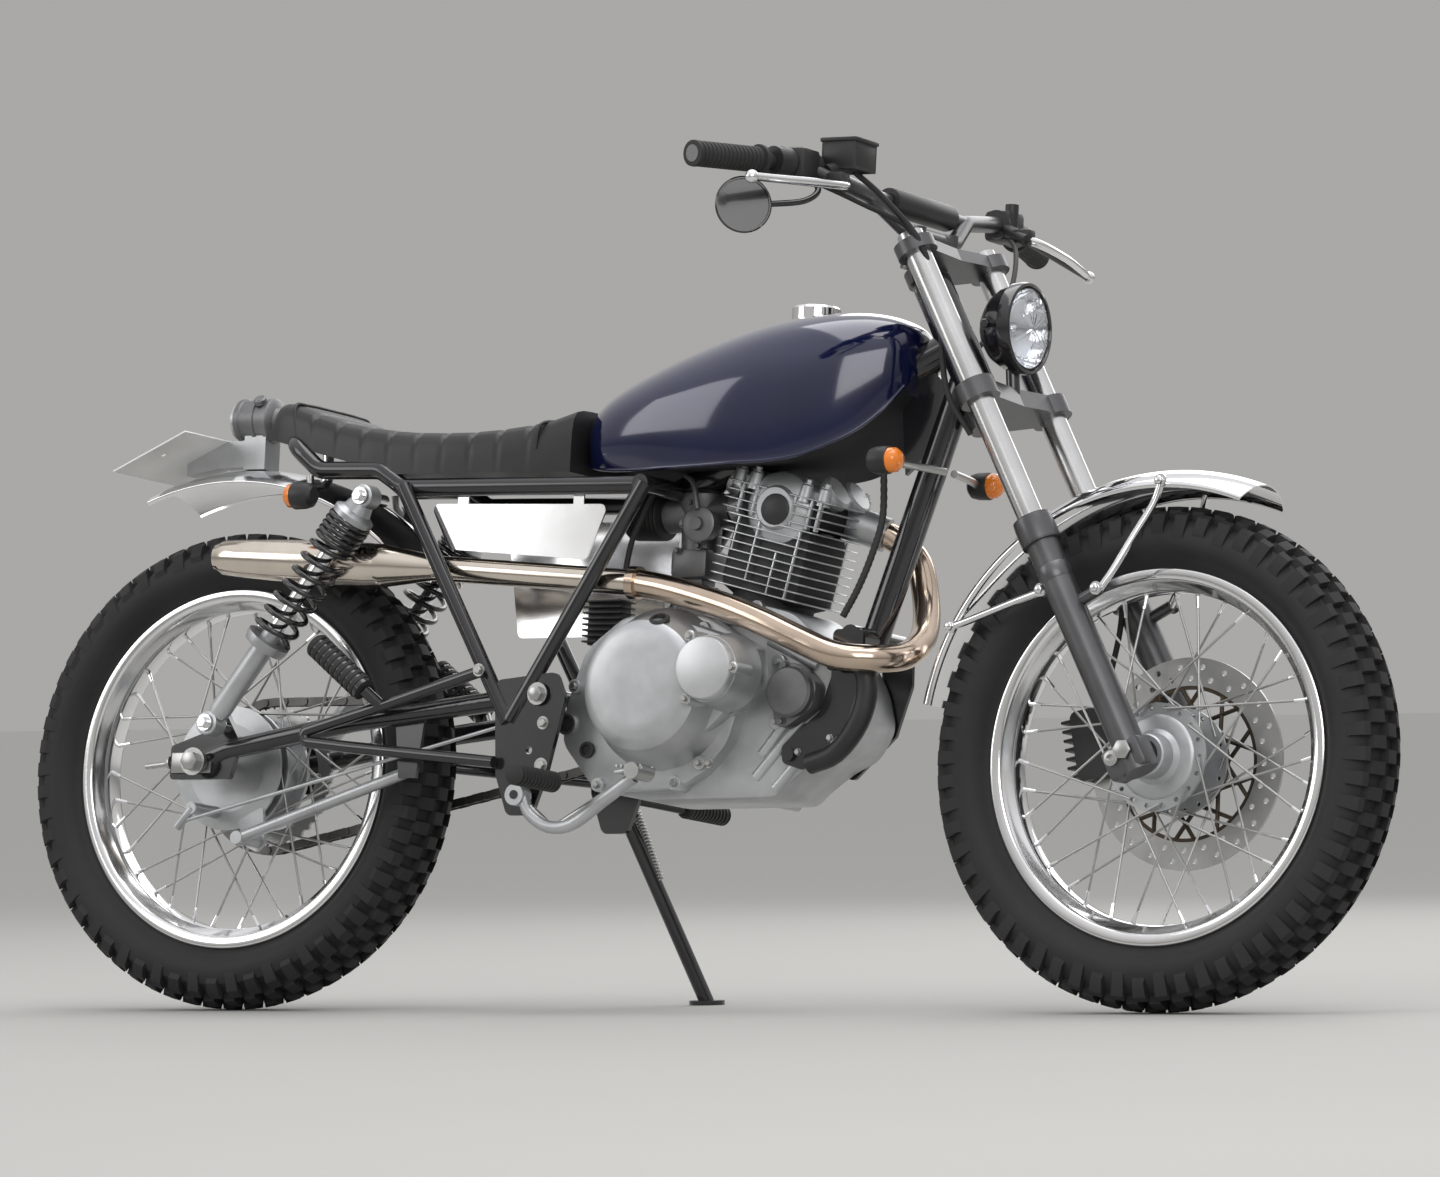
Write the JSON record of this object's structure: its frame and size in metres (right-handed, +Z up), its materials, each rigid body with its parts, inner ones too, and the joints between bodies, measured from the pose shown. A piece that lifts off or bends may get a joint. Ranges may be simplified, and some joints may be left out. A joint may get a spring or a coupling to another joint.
{
  "type": "scrambler motorcycle",
  "caption": "Single-cylinder scrambler motorcycle parked on its side stand, with turning wheels, steering and a folding stand.",
  "frame": {"origin": "on the ground, under the middle of the leaning machine's box", "axes": "+X forward, +Y to the machine's left, the side that it leans to, +Z up"},
  "size_m": [2.0598, 0.9026, 1.1287],
  "materials": {
    "black_gloss": "gloss black paint",
    "tank_paint": "deep navy gloss paint under clear lacquer",
    "engine_silver": "satin cast alloy",
    "polished_aluminium": "polished",
    "stainless": "polished stainless with a bronze heat tint",
    "chrome": "bright chrome",
    "steel": "zinc plated steel",
    "fork_grey": "satin dark grey",
    "tyre_rubber": "matt knobby rubber",
    "grip_rubber": "matt rubber",
    "black_plastic": "satin black",
    "seat_leather": "black, pleated across",
    "lens_glass": "fluted clear glass",
    "lamp_orange": "orange lens in a black shell",
    "plate_white": "blank pale plate",
    "mirror_black": "black shell"
  },
  "bodies": {
    "front_wheel": {"front_tyre": "tyre_rubber", "front_rim": "polished_aluminium", "front_spokes": "chrome", "front_hub": "engine_silver", "brake_disc": "steel"},
    "rear_wheel": {"rear_tyre": "tyre_rubber", "rear_rim": "polished_aluminium", "rear_spokes": "chrome", "rear_hub": "engine_silver", "sprocket": "steel"},
    "steering": {"fork_clamps": "fork_grey", "fork_stanchions": "chrome", "fork_sliders": "fork_grey", "front_axle": "steel", "front_fender": "chrome", "handlebar": "chrome", "grips": "grip_rubber", "hand_controls": "black_plastic", "mirror": "mirror_black", "headlight_shell": "black_gloss", "headlight_lens": "lens_glass", "brake_caliper": "black_gloss"},
    "side_stand": {"side_stand": "black_gloss"},
    "chassis": {"frame_backbone": "black_gloss", "frame_downtube": "black_gloss", "seat_rails": "black_gloss", "frame_struts": "black_gloss", "swingarm": "black_gloss", "rear_axle": "steel", "shock_bodies": "chrome", "shock_springs": "black_gloss", "rear_brake": "engine_silver", "chain": "steel", "crankcase": "engine_silver", "clutch_cover": "engine_silver", "generator_cover": "engine_silver", "cylinder": "engine_silver", "cylinder_head": "engine_silver", "carburettor": "engine_silver", "air_filter": "grip_rubber", "regulator": "engine_silver", "exhaust_header": "stainless", "muffler": "stainless", "fuel_tank": "tank_paint", "tank_cap": "chrome", "seat": "seat_leather", "side_panels": "polished_aluminium", "rear_fender": "polished_aluminium", "tail_lamp": "engine_silver", "number_plate": "plate_white", "indicators": "lamp_orange", "foot_pegs": "grip_rubber", "passenger_hangers": "black_gloss", "foot_levers": "steel"}
  },
  "joints": [
    {"name": "steering_turn", "type": "hinge", "parent": "chassis", "child": "steering", "pos_m": [0.37391, -0.02424, 0.8566], "axis": [-0.4695, 0.1081, 0.8763], "range_deg": [-38, 38]},
    {"name": "front_spin", "type": "hinge", "parent": "steering", "child": "front_wheel", "pos_m": [0.705, -0.09002, 0.32316], "axis": [0, 0.9925, -0.1224], "continuous": true},
    {"name": "rear_spin", "type": "hinge", "parent": "chassis", "child": "rear_wheel", "pos_m": [-0.708, -0.09039, 0.32018], "axis": [0, 0.9925, -0.1224], "continuous": true},
    {"name": "stand_fold", "type": "hinge", "parent": "chassis", "child": "side_stand", "pos_m": [-0.188, 0.0422, 0.25144], "axis": [0.114, 0.949, 0.294], "range_deg": [0, 100]}
  ]
}
